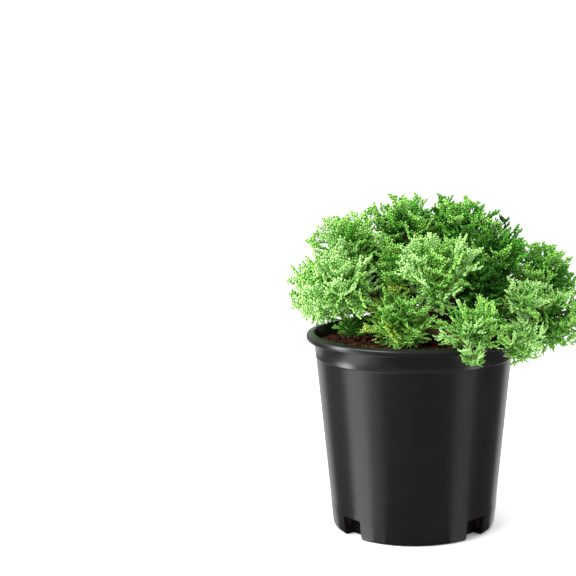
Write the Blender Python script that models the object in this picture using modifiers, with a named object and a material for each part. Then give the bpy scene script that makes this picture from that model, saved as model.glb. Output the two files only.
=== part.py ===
"""Green mound juniper in its black nursery pot.

Metres, +Z up. The origin is the centre of the pot's flat underside, and -Y is the front. The pot is a
turned shell with four drained notches at its foot. A plug of bark mix fills it, a short trunk stands in
the mix, and each bough of the trunk carries one mass of foliage that keeps to a space of its own.
"""

import math
import random
from dataclasses import dataclass

import bmesh
import bpy
from mathutils import Matrix, Vector

MM = 0.001
UP = Vector((0.0, 0.0, 1.0))
GAP = 0.3 * MM
MERGE = 0.01 * MM
SLIVER = 0.002 * MM

POT_HEIGHT = 241 * MM
POT_FOOT_RADIUS = 100.3 * MM
POT_TAPER = 0.0932
POT_WALL = 1.6 * MM
POT_FLOOR = 2.0 * MM
POT_CORNER = 5.0 * MM
POT_SEGMENTS = 48
LIP_RADIUS = 131.5 * MM
LIP_DEPTH = 8.8 * MM
LIP_ROUND = 2.4 * MM
BAND_BOTTOM = 212 * MM
BAND_STEP = 0.5 * MM

NOTCH_AZIMUTHS = (47.0, 133.0, 227.0, 313.0)
NOTCH_WIDTH = 30 * MM
NOTCH_HEIGHT = 24.5 * MM
NOTCH_DEPTH = 15 * MM
DRAIN_SLOT_HEIGHT = 14 * MM
DRAIN_SLOT_DEPTH = 8 * MM
DRAIN_SLOT_RISE = 6 * MM
DRAIN_HOLE_RADIUS = 2.6 * MM
DRAIN_HOLE_HEIGHT = 19.5 * MM

MIX_EDGE = 226 * MM
MIX_DOME = 2.4 * MM
MIX_BUMP = 0.9 * MM
MIX_DRAIN_ROOM = 3.0 * MM
MIX_SIDE_ROWS = 2

TRUNK_FOOT = Vector((7 * MM, 2 * MM, 0.0))
TRUNK_LEAN = Vector((7 * MM, 2 * MM, 0.0))
TRUNK_LENGTH = 40 * MM
TRUNK_RADIUS = 8.6 * MM
TRUNK_TIP_RADIUS = 6.6 * MM
TRUNK_FLARE = 4.2 * MM
TRUNK_FLARE_SHARE = 0.24
TRUNK_SIDES = 16
TRUNK_ROWS = 6

TIERS = 4
TIER_BASE = 12.6 * MM
TIER_STEP = 7.9 * MM
BOUGH_RADIUS = 3.1 * MM
BOUGH_TIP_RADIUS = 1.9 * MM
BOUGH_SIDES = 5
BOUGH_ROWS = 6
BOUGH_COLLAR = 3 * MM

MASS_FLATTENING = 0.8
FOOT_SLOPE = -0.35
RIM_ROOM = 8 * MM
SPACE_MARGIN = 0.4 * MM
LIMB_CLEARANCE = 0.8 * MM
TEST_STEP = 2 * MM
STEM_RADIUS = 1.7 * MM
TWIG_RADIUS = 1.3 * MM
TWIG_TIP_RADIUS = 0.7 * MM
TWIG_SIDES = 3
CORE_SHARE = 0.57
CORE_FILL = 0.96
PROUD = 1.3
CORE_BUMP = 0.14
SPRAY_LENGTH = 43 * MM
SPRAY_SHARE = 0.72
SPRAY_THICKNESS = 0.075
SPRAY_SUNK = 1.0 * MM
SIDE_SPRAY_SHARE = 0.86
GOLDEN_ANGLE = math.pi * (3.0 - math.sqrt(5.0))
SEED = 20


@dataclass(frozen=True)
class Mass:
    """One mass of foliage: the centre and size of its space in millimetres, and how many twigs it has."""

    name: str
    x: float
    y: float
    z: float
    size: float
    twigs: int = 11
    flattening: float = MASS_FLATTENING

    @property
    def centre(self):
        """Middle of the space, in metres."""
        return Vector((self.x, self.y, self.z)) * MM

    @property
    def radii(self):
        """Half widths of the space, in metres."""
        return Vector((self.size, self.size, self.size * self.flattening)) * MM


MASSES = (
    Mass("crown_left", -12, 28, 359, 60),
    Mass("crown_right", 55, 26, 360, 61),
    Mass("left_upper", -75, 5, 344, 58),
    Mass("left_lower", -82, -33, 303, 65, flattening=0.74),
    Mass("left_middle", -27, -23, 316, 47, twigs=14, flattening=0.9),
    Mass("left_sprig", -70, -35, 256, 28, twigs=6),
    Mass("front_upper", 28, -43, 317, 66),
    Mass("front_low", -16, -57, 270, 53),
    Mass("front_drape", 68, -103, 260, 48),
    Mass("front_sprig", 66, -127, 237, 22, twigs=7, flattening=1.0),
    Mass("right_upper", 99, 7, 329, 55, flattening=0.95),
    Mass("right_middle", 81, -37, 300, 49, twigs=14, flattening=0.95),
    Mass("right_tuft", 127, -66, 290, 32, twigs=10, flattening=0.9),
    Mass("right_drape", 120, -81, 242, 37, twigs=9),
    Mass("right_lower", 157, -23, 267, 64, flattening=0.72),
    Mass("far_right", 153, 5, 302, 60, flattening=0.82),
    Mass("back_left", -67, 71, 306, 66, twigs=10),
    Mass("back_middle", 18, 85, 318, 68, twigs=10),
    Mass("back_right", 94, 73, 310, 68, twigs=10),
    Mass("back_low_left", -40, 112, 275, 57, twigs=10),
    Mass("back_low_right", 58, 121, 273, 60, twigs=10),
    Mass("far_back_right", 141, 75, 268, 57, twigs=10),
    Mass("far_left", -110, 38, 290, 55),
)


def pot_radius(z):
    """Outer radius of the pot's tapering wall at a height."""
    return POT_FOOT_RADIUS + POT_TAPER * z


def mix_top(radius):
    """Height of the mix's smooth domed surface at a distance from the pot's axis."""
    return MIX_EDGE + MIX_DOME * (1.0 - (radius / pot_radius(MIX_EDGE)) ** 2)


def azimuth_turn(degrees):
    """Turn about Z that takes -Y to a direction this many degrees round towards +X."""
    return Matrix.Rotation(math.radians(degrees), 4, "Z")


def new_collection(name):
    """Collection of this name, linked to the scene."""
    collection = bpy.data.collections.new(name)
    bpy.context.scene.collection.children.link(collection)
    return collection


def new_material(name, colour, roughness):
    """Principled material of a plain colour that isn't metal."""
    material = bpy.data.materials.new(name)
    material.use_nodes = True
    shader = material.node_tree.nodes["Principled BSDF"]
    shader.inputs["Base Color"].default_value = (*colour, 1.0)
    shader.inputs["Roughness"].default_value = roughness
    shader.inputs["Metallic"].default_value = 0.0
    return material


def new_object(name, data, collection, material=None):
    """Object that holds the data, linked to the collection."""
    thing = bpy.data.objects.new(name, data)
    collection.objects.link(thing)
    if material is not None:
        data.materials.append(material)
    return thing


def mesh_from(bm, name):
    """Mesh made of a bmesh, which is freed."""
    mesh = bpy.data.meshes.new(name)
    bm.to_mesh(mesh)
    bm.free()
    return mesh


def turned(name, profile, collection, material=None):
    """Solid turned about Z from a profile that runs from the axis, down the outside, back to the axis."""
    bm = bmesh.new()
    corners = [bm.verts.new((radius, 0.0, z)) for radius, z in profile]
    for first, second in zip(corners, corners[1:]):
        bm.edges.new((first, second))
    thing = new_object(name, mesh_from(bm, name), collection, material)
    screw = thing.modifiers.new("turn", "SCREW")
    screw.steps = screw.render_steps = POT_SEGMENTS
    screw.use_merge_vertices = True
    screw.merge_threshold = MERGE
    return thing


def block(name, size, centre, collection):
    """Box whose far sides from its centre are half its size."""
    bm = bmesh.new()
    bmesh.ops.create_cube(bm, size=1.0, matrix=Matrix.Translation(centre) @ Matrix.Diagonal((*size, 1.0)))
    return new_object(name, mesh_from(bm, name), collection)


def as_cutter(thing):
    """Marks an object as a guide that the finished pot doesn't hold."""
    thing.hide_render = True
    thing.display_type = "WIRE"
    return thing


def cut(thing, cutter):
    """Takes the cutter's volume out of the object."""
    boolean = thing.modifiers.new(f"less {cutter.name}", "BOOLEAN")
    boolean.operation = "DIFFERENCE"
    boolean.solver = "EXACT"
    boolean.object = cutter


def applied(thing):
    """Mesh of the object with its modifiers applied."""
    graph = bpy.context.evaluated_depsgraph_get()
    return bpy.data.meshes.new_from_object(thing.evaluated_get(graph))


def lip_profile():
    """Outside of the rolled lip, from its crest out and down to the wall under it."""
    top, outer = POT_HEIGHT, LIP_RADIUS
    low = POT_HEIGHT - LIP_DEPTH
    return [
        (outer - 2.2 * LIP_ROUND, top),
        (outer - LIP_ROUND, top - 0.25 * LIP_ROUND),
        (outer - 0.25 * LIP_ROUND, top - LIP_ROUND),
        (outer, top - 2.0 * LIP_ROUND),
        (outer, low + 0.4 * LIP_ROUND),
        (outer - 0.5 * LIP_ROUND, low),
        (pot_radius(low) + BAND_STEP, low),
    ]


def corner_profile(rows=3):
    """Rounded corner between the wall and the flat underside."""
    radius = pot_radius(POT_CORNER)
    angles = [math.pi / 2 * row / rows for row in range(rows + 1)]
    return [
        (radius - POT_CORNER * (1 - math.cos(angle)), POT_CORNER * (1 - math.sin(angle)))
        for angle in angles
    ]


def notch_cutter(name, room, collection, azimuth):
    """Block as large as one notch of the pot's foot, with some room on every side."""
    inner = pot_radius(0.0) - NOTCH_DEPTH - room
    outer = pot_radius(NOTCH_HEIGHT) + POT_WALL + room
    bottom = -POT_CORNER
    top = NOTCH_HEIGHT + room
    size = (NOTCH_WIDTH + 2 * room, outer - inner, top - bottom)
    cutter = block(name, size, (0.0, -(inner + outer) / 2, (top + bottom) / 2), collection)
    cutter.matrix_world = azimuth_turn(azimuth)
    return as_cutter(cutter)


def drain_slot_cutter(name, collection, azimuth):
    """Block that opens both side walls of one notch to the inside of the pot."""
    size = (NOTCH_WIDTH + 6 * POT_WALL, DRAIN_SLOT_DEPTH, DRAIN_SLOT_HEIGHT)
    middle = pot_radius(0.0) - NOTCH_DEPTH + DRAIN_SLOT_DEPTH / 2 + POT_WALL
    cutter = block(name, size, (0.0, -middle, DRAIN_SLOT_RISE + DRAIN_SLOT_HEIGHT / 2), collection)
    cutter.matrix_world = azimuth_turn(azimuth)
    return as_cutter(cutter)


def drain_hole_cutter(name, collection, azimuth):
    """Rod that drills the round hole high in one notch's back wall."""
    bm = bmesh.new()
    middle = pot_radius(0.0) - NOTCH_DEPTH
    along = Matrix.Translation((0.0, -middle, DRAIN_HOLE_HEIGHT)) @ Matrix.Rotation(math.pi / 2, 4, "X")
    bmesh.ops.create_cone(
        bm,
        cap_ends=True,
        segments=12,
        radius1=DRAIN_HOLE_RADIUS,
        radius2=DRAIN_HOLE_RADIUS,
        depth=6 * POT_WALL,
        matrix=along,
    )
    cutter = new_object(name, mesh_from(bm, name), collection)
    cutter.matrix_world = azimuth_turn(azimuth)
    return as_cutter(cutter)


def make_pot(parts, cutters):
    """Blow-moulded nursery pot: a thin tapering shell with a rolled lip and four notches at its foot."""
    plastic = new_material("black_pot_plastic", (0.012, 0.012, 0.013), 0.42)
    outside = [(0.0, POT_HEIGHT), *lip_profile()]
    outside += [
        (pot_radius(BAND_BOTTOM) + BAND_STEP, BAND_BOTTOM),
        (pot_radius(BAND_BOTTOM), BAND_BOTTOM - BAND_STEP),
        *corner_profile(),
        (0.0, 0.0),
    ]
    pot = turned("pot", outside, parts, plastic)

    above = POT_HEIGHT + POT_CORNER
    crest = pot_radius(POT_HEIGHT) - 0.6 * MM
    inner_foot = pot_radius(POT_CORNER) - POT_WALL
    inside = [
        (0.0, above),
        (crest, above),
        (crest, POT_HEIGHT - 0.2 * MM),
        (pot_radius(POT_HEIGHT) - POT_WALL, POT_HEIGHT - 2.0 * MM),
        (inner_foot, POT_CORNER),
        (inner_foot - 2.0 * MM, POT_FLOOR),
        (0.0, POT_FLOOR),
    ]
    cavity = as_cutter(turned("pot_cavity", inside, cutters))
    for azimuth in NOTCH_AZIMUTHS:
        cut(cavity, notch_cutter(f"notch_housing_{azimuth:.0f}", POT_WALL, cutters, azimuth))
        cut(pot, notch_cutter(f"notch_{azimuth:.0f}", 0.0, cutters, azimuth))
    cut(pot, cavity)
    for azimuth in NOTCH_AZIMUTHS:
        cut(pot, drain_slot_cutter(f"drain_slot_{azimuth:.0f}", cutters, azimuth))
        cut(pot, drain_hole_cutter(f"drain_hole_{azimuth:.0f}", cutters, azimuth))
    return pot


def make_mix(parts, cutters):
    """Plug of bark mix that fills the pot, slightly domed and uneven on top."""
    bark = new_material("bark_mix", (0.09, 0.035, 0.02), 0.95)
    rng = random.Random(SEED)
    bottom = POT_FLOOR + GAP
    wall = POT_WALL + 2 * GAP
    edge = pot_radius(MIX_EDGE) - wall
    top = [(edge * share, mix_top(edge * share)) for share in (0.0, 0.35, 0.7, 1.0)]
    side = []
    for row in range(1, MIX_SIDE_ROWS + 1):
        z = MIX_EDGE + (POT_CORNER - MIX_EDGE) * row / MIX_SIDE_ROWS
        side.append((pot_radius(z) - wall, z))
    foot = (pot_radius(POT_CORNER) - wall - 2.4 * MM, bottom)
    raw = turned("mix_plug", [*top, *side, foot, (0.0, bottom)], parts)
    mesh = applied(raw)
    bpy.data.objects.remove(raw)
    for vertex in mesh.vertices:
        radius = math.hypot(vertex.co.x, vertex.co.y)
        if vertex.co.z > MIX_EDGE + MERGE and radius < edge - MERGE:
            vertex.co.z += rng.uniform(-MIX_BUMP, MIX_BUMP)
    plug = new_object("potting_mix", mesh, parts, bark)
    for azimuth in NOTCH_AZIMUTHS:
        cut(plug, notch_cutter(f"mix_clearance_{azimuth:.0f}", MIX_DRAIN_ROOM, cutters, azimuth))
    return plug


def make_pot_room(cutters):
    """Room of the pot and its mix, a little larger than they are, which foliage keeps out of."""
    inner = pot_radius(POT_HEIGHT) - POT_WALL - MM
    outer = LIP_RADIUS + MM
    top = POT_HEIGHT + MM
    floor = mix_top(0.0) + MIX_BUMP + MM
    profile = [(0.0, floor), (inner, floor), (inner, top), (outer, top), (outer, 0.0), (0.0, 0.0)]
    return as_cutter(turned("pot_room", profile, cutters))


def section(sides, collection):
    """Closed outline with a radius of 1 that limbs are swept from."""
    outline = bpy.data.curves.new(f"section_{sides}", "CURVE")
    outline.dimensions = "2D"
    spline = outline.splines.new("POLY")
    spline.points.add(sides - 1)
    for index, point in enumerate(spline.points):
        angle = 2 * math.pi * index / sides
        point.co = (math.cos(angle), math.sin(angle), 0.0, 1.0)
    spline.use_cyclic_u = True
    return as_cutter(new_object(f"section_{sides}", outline, collection))


def limb(name, points, radii, outline, collection, material=None):
    """Tapering limb through the points, swept from the outline and closed at both ends."""
    curve = bpy.data.curves.new(name, "CURVE")
    curve.dimensions = "3D"
    curve.bevel_mode = "OBJECT"
    curve.bevel_object = outline
    curve.use_fill_caps = True
    spline = curve.splines.new("POLY")
    spline.points.add(len(points) - 1)
    for point, place, radius in zip(spline.points, points, radii):
        point.co = (*place, 1.0)
        point.radius = radius
    swept = new_object(f"{name}_path", curve, collection)
    mesh = applied(swept)
    bpy.data.objects.remove(swept)
    bpy.data.curves.remove(curve)
    bm = bmesh.new()
    bm.from_mesh(mesh)
    bmesh.ops.remove_doubles(bm, verts=bm.verts, dist=MERGE)
    bmesh.ops.recalc_face_normals(bm, faces=bm.faces)
    bm.to_mesh(mesh)
    bm.free()
    return new_object(name, mesh, collection, material)


def trunk_centre(share):
    """Point of the trunk's axis at a share of its length."""
    foot = TRUNK_FOOT + UP * (mix_top(TRUNK_FOOT.length) + MIX_BUMP + GAP)
    return foot + (TRUNK_LEAN + UP * TRUNK_LENGTH) * share


def trunk_radius(share):
    """Radius of the trunk at a share of its length, with the flare at its foot."""
    flare = TRUNK_FLARE * (1.0 - min(1.0, share / TRUNK_FLARE_SHARE)) ** 2
    return TRUNK_RADIUS + (TRUNK_TIP_RADIUS - TRUNK_RADIUS) * share + flare


def make_trunk(parts, outline):
    """Short leaning stem, cut flat where it meets the mix."""
    bark = new_material("juniper_bark", (0.16, 0.085, 0.05), 0.9)
    shares = [TRUNK_FLARE_SHARE * row / (TRUNK_ROWS - 2) for row in range(TRUNK_ROWS - 1)] + [1.0]
    points = [trunk_centre(share) for share in shares]
    points[0] = Vector((points[1].x, points[1].y, points[0].z))
    return limb("trunk", points, [trunk_radius(share) for share in shares], outline, parts, bark)


def curved(start, leaving, arriving, end, rows):
    """Points of a smooth curve from start to end, with the directions it leaves and arrives in."""
    pull = (end - start).length / 3
    first, second = start + leaving * pull, end - arriving * pull
    points = []
    for row in range(rows):
        t = row / (rows - 1)
        u = 1 - t
        points.append(u**3 * start + 3 * u * u * t * first + 3 * u * t * t * second + t**3 * end)
    return points


class Space:
    """Convex room of one mass: its ellipsoid, cut by a plane between it and each neighbour."""

    def __init__(self, mass, others):
        self.centre = mass.centre
        self.radii = mass.radii
        self.planes = []
        for other in others:
            across = other.centre - mass.centre
            distance = across.length
            normal = across / distance
            own = self.support(mass.radii, normal)
            share = own / (own + self.support(other.radii, normal))
            self.planes.append((normal, distance * share - SPACE_MARGIN))

    @staticmethod
    def support(radii, normal):
        """How far an ellipsoid reaches from its centre in a direction."""
        return math.sqrt(sum((r * n) ** 2 for r, n in zip(radii, normal)))

    def holds(self, point):
        """Whether the point is in this room."""
        away = point - self.centre
        if sum((a / r) ** 2 for a, r in zip(away, self.radii)) > 1.0:
            return False
        return all(away.dot(normal) < limit for normal, limit in self.planes)

    def open_reach(self, direction):
        """Distance from the centre to the ellipsoid in a direction."""
        return 1.0 / math.sqrt(sum((d / r) ** 2 for d, r in zip(direction, self.radii)))

    def core_reach(self, direction, bump=0.0):
        """Distance from the centre to the core, which fills the room up to its planes and stays low elsewhere."""
        low = self.open_reach(direction) * CORE_SHARE * (1 + bump)
        return min(low, self.reach(direction) * CORE_FILL)

    def reach(self, direction):
        """Distance from the centre to the room's boundary in a direction."""
        far = self.open_reach(direction)
        for normal, limit in self.planes:
            facing = direction.dot(normal)
            if facing > 1e-6:
                far = min(far, limit / facing)
        return far


class Obstacles:
    """Pot, mix, trunk and boughs, which no twig or spray may touch."""

    def __init__(self):
        self.limbs = []

    def add_limb(self, points, radii):
        """Notes a tapering limb by its axis and radii."""
        self.limbs.append((points, radii))

    @staticmethod
    def clear_of_pot(point, gap):
        """Whether the point keeps the gap to the pot and the mix."""
        radius = math.hypot(point.x, point.y)
        if point.z > POT_HEIGHT + gap or radius > LIP_RADIUS + gap:
            return True
        inside = radius < pot_radius(point.z) - POT_WALL - gap
        return inside and point.z > mix_top(radius) + MIX_BUMP + gap

    def clear(self, point, gap):
        """Whether the point keeps the gap to everything that stands fixed."""
        if not self.clear_of_pot(point, gap):
            return False
        for points, radii in self.limbs:
            for start, end, first, second in zip(points, points[1:], radii, radii[1:]):
                along = end - start
                t = max(0.0, min(1.0, (point - start).dot(along) / along.length_squared))
                if (point - start - along * t).length < first + (second - first) * t + gap:
                    return False
        return True


@dataclass(frozen=True)
class Twig:
    """One twig: the points of its axis."""

    points: list


@dataclass(frozen=True)
class Spray:
    """One flat spray of needles: where it is rooted, where it points, its sideways axis and length."""

    root: Vector
    along: Vector
    side: Vector
    length: float

    def outline(self):
        """Tip, notches, side fingers and root, as the share of the length along and across."""
        shape = ((1.0, 0.0), (0.66, 0.12), (0.8, 0.4), (0.0, 0.0), (0.8, -0.4), (0.66, -0.12))
        return [self.root + (self.along * a + self.side * s) * self.length for a, s in shape]


def foot_of(mass, space):
    """Where a mass's stem starts, and the way it leads into the mass."""
    fork = trunk_centre(0.7)
    inward = fork - mass.centre
    flat = math.hypot(inward.x, inward.y)
    over_rim = (POT_HEIGHT + RIM_ROOM - mass.centre.z) / (mass.size * MM)
    inward.z = flat * max(min(inward.z / flat, FOOT_SLOPE), over_rim)
    inward.normalize()
    return mass.centre + inward * space.reach(inward) * 0.86, -inward


class Growth:
    """Twigs and sprays of one mass, which branch by a seeded rule from one stem inside its space."""

    def __init__(self, mass, space, obstacles, seed):
        self.mass = mass
        self.space = space
        self.obstacles = obstacles
        self.rng = random.Random(seed)
        self.foot, self.lead = foot_of(mass, space)
        self.spray_length = min(SPRAY_LENGTH, SPRAY_SHARE * mass.size * MM)
        self.head = mass.centre + (self.lead + UP * 0.4).normalized() * self.spray_length * 0.3
        self.stem = [self.foot, mass.centre, self.head]
        self.twigs = []
        self.sprays = []
        self.keep_out = []

    def meets_core(self, points):
        """Whether a path comes near the core."""
        for start, end in zip(points, points[1:]):
            for step in range(9):
                away = start.lerp(end, step / 8) - self.mass.centre
                if away.length < self.space.core_reach(away.normalized(), CORE_BUMP) + 4 * MM:
                    return True
        return False

    def fits(self, points):
        """Whether straight lines between the points stay in the space and touch nothing."""
        for start, end in zip(points, points[1:]):
            steps = math.ceil((end - start).length / TEST_STEP)
            for step in range(steps + 1):
                point = start.lerp(end, step / steps)
                if not self.space.holds(point) or not self.obstacles.clear(point, LIMB_CLEARANCE):
                    return False
        return True

    def direction(self, index):
        """Direction of a twig: the first runs level away from the trunk, the rest spread over the sphere."""
        if index == 0:
            return Vector((self.lead.x, self.lead.y, 0.0)).normalized()
        height = 1.0 - 2.0 * (index - 0.5) / (self.mass.twigs - 1)
        turn = GOLDEN_ANGLE * index + self.mass.size
        flat = math.sqrt(1.0 - height * height)
        return Vector((flat * math.cos(turn), flat * math.sin(turn), height))

    def add_spray(self, root, along, length):
        """Adds a spray, shortened until it fits, and says whether it did."""
        across = along.cross(UP)
        if across.length < 0.2:
            across = along.cross(Vector((0.0, 1.0, 0.0)))
        side = Matrix.Rotation(self.rng.uniform(-0.9, 0.9), 3, along) @ across.normalized()
        for shrink in (1.0, 0.85, 0.7, 0.55):
            spray = Spray(root, along, side, length * shrink)
            corners = spray.outline()
            spread = [corners[3], corners[2], corners[0], corners[4], corners[3], corners[0]]
            if self.fits(spread):
                self.sprays.append(spray)
                return True
        return False

    def add_twig(self, out):
        """Adds a twig that ends in a spray whose tip reaches the space's boundary, with one at its side."""
        rng, centre = self.rng, self.mass.centre
        reach = self.space.reach(out) * rng.uniform(0.9, 0.985)
        length = min(self.spray_length * rng.uniform(0.88, 1.1), 0.82 * reach)
        along = (out + UP * rng.uniform(0.1, 0.45)).normalized()
        root = centre + out * reach - along * length
        share = 0.45 + 0.35 * out.dot(self.lead)
        start = self.foot.lerp(self.head, max(0.15, min(0.9, share)))
        points = [start, root]
        if (root - start).length < 3 * MM or not self.fits(points):
            points = None
            root = start
            length = min(length, (centre + out * reach - start).length)
        if not self.add_spray(root - along * SPRAY_SUNK, along, length + SPRAY_SUNK):
            return
        if points is None:
            return
        self.twigs.append(Twig(points))
        side = along.cross(UP)
        side = side.normalized() if side.length > 0.2 else Vector((1.0, 0.0, 0.0))
        turn = 1.0 if len(self.twigs) % 2 else -1.0
        lean = (along * 0.6 + side * turn * rng.uniform(0.7, 1.0) + UP * 0.15).normalized()
        self.add_spray(start.lerp(root, SIDE_SPRAY_SHARE), lean, length * rng.uniform(0.8, 0.98))

    def grow(self):
        """Grows every twig of the mass."""
        for index in range(self.mass.twigs):
            out = self.direction(index)
            stands_out = self.space.reach(out) > PROUD * self.space.core_reach(out)
            if stands_out and out.dot(self.lead) > -0.8:
                self.add_twig(out)
        return self


def make_blade(name, spray, collection):
    """Closed blade of one spray, with three fingers and a ridge on each face."""
    bm = bmesh.new()
    bmesh.ops.create_uvsphere(bm, u_segments=6, v_segments=2, radius=1.0)
    middle = spray.root + spray.along * spray.length * 0.48
    ridge = spray.along.cross(spray.side).normalized() * spray.length * SPRAY_THICKNESS / 2
    corners = spray.outline()
    for vertex in bm.verts:
        if abs(vertex.co.z) > 0.5:
            vertex.co = middle + ridge * vertex.co.z
        else:
            turn = math.atan2(vertex.co.y, vertex.co.x) % (2 * math.pi)
            vertex.co = corners[round(turn / (math.pi / 3)) % 6]
    bmesh.ops.recalc_face_normals(bm, faces=bm.faces)
    return new_object(name, mesh_from(bm, name), collection)


def make_core(name, growth, collection):
    """Uneven core of one mass, smaller than its space."""
    bm = bmesh.new()
    bmesh.ops.create_icosphere(bm, subdivisions=2, radius=1.0)
    for vertex in bm.verts:
        out = vertex.co.normalized()
        bump = growth.rng.uniform(-CORE_BUMP, CORE_BUMP)
        vertex.co = growth.mass.centre + out * growth.space.core_reach(out, bump)
    core = new_object(name, mesh_from(bm, name), collection)
    for cutter in growth.keep_out:
        cut(core, cutter)
    return core


def island_volume(faces):
    """Signed volume that a closed set of faces holds."""
    total = 0.0
    for face in faces:
        corners = [loop.vert.co for loop in face.loops]
        for second, third in zip(corners[1:], corners[2:]):
            total += corners[0].dot(second.cross(third)) / 6
    return total


def keep_largest_body(mesh):
    """Drops loose scraps and fills sealed hollows by keeping only the surface with the largest volume."""
    bm = bmesh.new()
    bm.from_mesh(mesh)
    bmesh.ops.triangulate(bm, faces=bm.faces)
    bmesh.ops.dissolve_degenerate(bm, edges=bm.edges, dist=SLIVER)
    bmesh.ops.triangulate(bm, faces=bm.faces)
    unseen = set(bm.faces)
    islands = []
    while unseen:
        island, front = [], [unseen.pop()]
        while front:
            face = front.pop()
            island.append(face)
            beside = [n for edge in face.edges if len(edge.link_faces) == 2 for n in edge.link_faces]
            for neighbour in beside:
                if neighbour in unseen:
                    unseen.remove(neighbour)
                    front.append(neighbour)
        islands.append(island)
    islands.sort(key=island_volume)
    for island in islands[:-1]:
        bmesh.ops.delete(bm, geom=island, context="FACES")
    bm.to_mesh(mesh)
    bm.free()


def make_foliage(growth, parts, outline, material):
    """Mass of foliage: stem, twigs, sprays and core joined by one union."""
    name = f"foliage_{growth.mass.name}"
    pieces = new_collection(f"{name}_pieces")
    stem_radii = [STEM_RADIUS, TWIG_RADIUS, TWIG_TIP_RADIUS]
    stem = limb(f"{name}_stem", growth.stem, stem_radii, outline, parts)
    for index, twig in enumerate(growth.twigs):
        radii = [TWIG_RADIUS, TWIG_TIP_RADIUS]
        limb(f"{name}_twig_{index}", twig.points, radii, outline, pieces)
    for index, spray in enumerate(growth.sprays):
        make_blade(f"{name}_spray_{index}", spray, pieces)
    make_core(f"{name}_core", growth, pieces)
    union = stem.modifiers.new("join", "BOOLEAN")
    union.operation = "UNION"
    union.operand_type = "COLLECTION"
    union.collection = pieces
    union.solver = "EXACT"
    mesh = applied(stem)
    keep_largest_body(mesh)
    for piece in [stem, *pieces.objects]:
        bpy.data.objects.remove(piece)
    bpy.data.collections.remove(pieces)
    return new_object(name, mesh, parts, material)


def bough_starts():
    """Start and leaving direction of each mass's bough, in tiers round the trunk."""
    starts = {}
    fork = trunk_centre(0.7)
    by_steepness = sorted(MASSES, key=lambda mass: (mass.centre - fork).normalized().z)
    per_tier = math.ceil(len(MASSES) / TIERS)
    for tier in range(TIERS):
        share = (TIER_BASE + TIER_STEP * tier) / TRUNK_LENGTH
        centre = trunk_centre(share)
        members = by_steepness[tier * per_tier : (tier + 1) * per_tier]
        turns = {m.name: math.atan2(m.centre.y - centre.y, m.centre.x - centre.x) for m in members}
        members.sort(key=lambda mass: turns[mass.name])
        even = 2 * math.pi / len(members)
        shift = sum(turns[m.name] - even * index for index, m in enumerate(members)) / len(members)
        for index, mass in enumerate(members):
            turn = shift + even * index
            out = Vector((math.cos(turn), math.sin(turn), 0.0))
            lean = TRUNK_LEAN.length / TRUNK_LENGTH
            starts[mass.name] = (centre + out * (trunk_radius(share) + GAP + BOUGH_RADIUS * lean), out)
    return starts


def make_bough(mass, space, start, outline, parts, material):
    """One tapering limb from beside the trunk to the foot of its mass."""
    place, out = start
    foot, lead = foot_of(mass, space)
    end = foot - lead * GAP
    bend = curved(place + out * BOUGH_COLLAR, out, lead, end - lead * BOUGH_COLLAR, BOUGH_ROWS - 2)
    points = [place, *bend, end]
    shares = [row / (BOUGH_ROWS - 1) for row in range(BOUGH_ROWS)]
    radii = [BOUGH_RADIUS + (BOUGH_TIP_RADIUS - BOUGH_RADIUS) * share for share in shares]
    return limb(f"bough_{mass.name}", points, radii, outline, parts, material), points, radii


def shade(thing):
    """Smooth shading with sharp edges kept."""
    thing.data.shade_smooth()
    thing.data.set_sharp_from_angle(angle=math.radians(35))


def main():
    """Builds the potted juniper."""
    for thing in list(bpy.data.objects):
        bpy.data.objects.remove(thing)
    parts = new_collection("potted_green_mound_juniper")
    cutters = new_collection("cutters")
    wood = new_material("young_juniper_wood", (0.2, 0.12, 0.06), 0.85)
    green = new_material("juniper_needles", (0.06, 0.2, 0.05), 0.6)
    trunk_outline = section(TRUNK_SIDES, cutters)
    bough_outline = section(BOUGH_SIDES, cutters)
    twig_outline = section(TWIG_SIDES, cutters)

    shade(make_pot(parts, cutters))
    make_mix(parts, cutters)
    shade(make_trunk(parts, trunk_outline))

    spaces = {mass.name: Space(mass, [m for m in MASSES if m is not mass]) for mass in MASSES}
    starts = bough_starts()
    obstacles = Obstacles()
    routes = {}
    trunk_shares = [row / 4 for row in range(5)]
    obstacles.add_limb([trunk_centre(s) for s in trunk_shares], [trunk_radius(s) for s in trunk_shares])
    for mass in MASSES:
        bough, points, radii = make_bough(
            mass, spaces[mass.name], starts[mass.name], bough_outline, parts, wood
        )
        shade(bough)
        obstacles.add_limb(points, radii)
        routes[mass.name] = (points, radii)
    pot_room = make_pot_room(cutters)
    for index, mass in enumerate(MASSES):
        growth = Growth(mass, spaces[mass.name], obstacles, SEED + index).grow()
        for other, (points, radii) in routes.items():
            if growth.meets_core(points):
                roomy = [radius + 2 * LIMB_CLEARANCE for radius in radii]
                path = [*points[:-1], points[-1] + (points[-1] - points[-2]).normalized() * 1.5 * GAP]
                room = limb(f"room_{other}_{mass.name}", path, roomy, bough_outline, cutters)
                growth.keep_out.append(as_cutter(room))
        if mass.centre.z - mass.radii.z < POT_HEIGHT:
            growth.keep_out.append(pot_room)
        make_foliage(growth, parts, twig_outline, green)


main()
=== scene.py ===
"""Looks of the potted green mound juniper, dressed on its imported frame.

Metres, +Z up, and -Y is the front. The foliage grows by the same rule as the solids do: each mass has a
space of its own, and every twig leaves one stem in it. Here the twigs go on to fine branchlets that end in
finger-like shoots. The pot is a finer turned shell, and the bark mix gets loose chips.
"""

import logging
import math
import random
from dataclasses import dataclass
from enum import Enum

import bmesh
import bpy
import numpy as np
from mathutils import Matrix, Vector, noise


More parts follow.
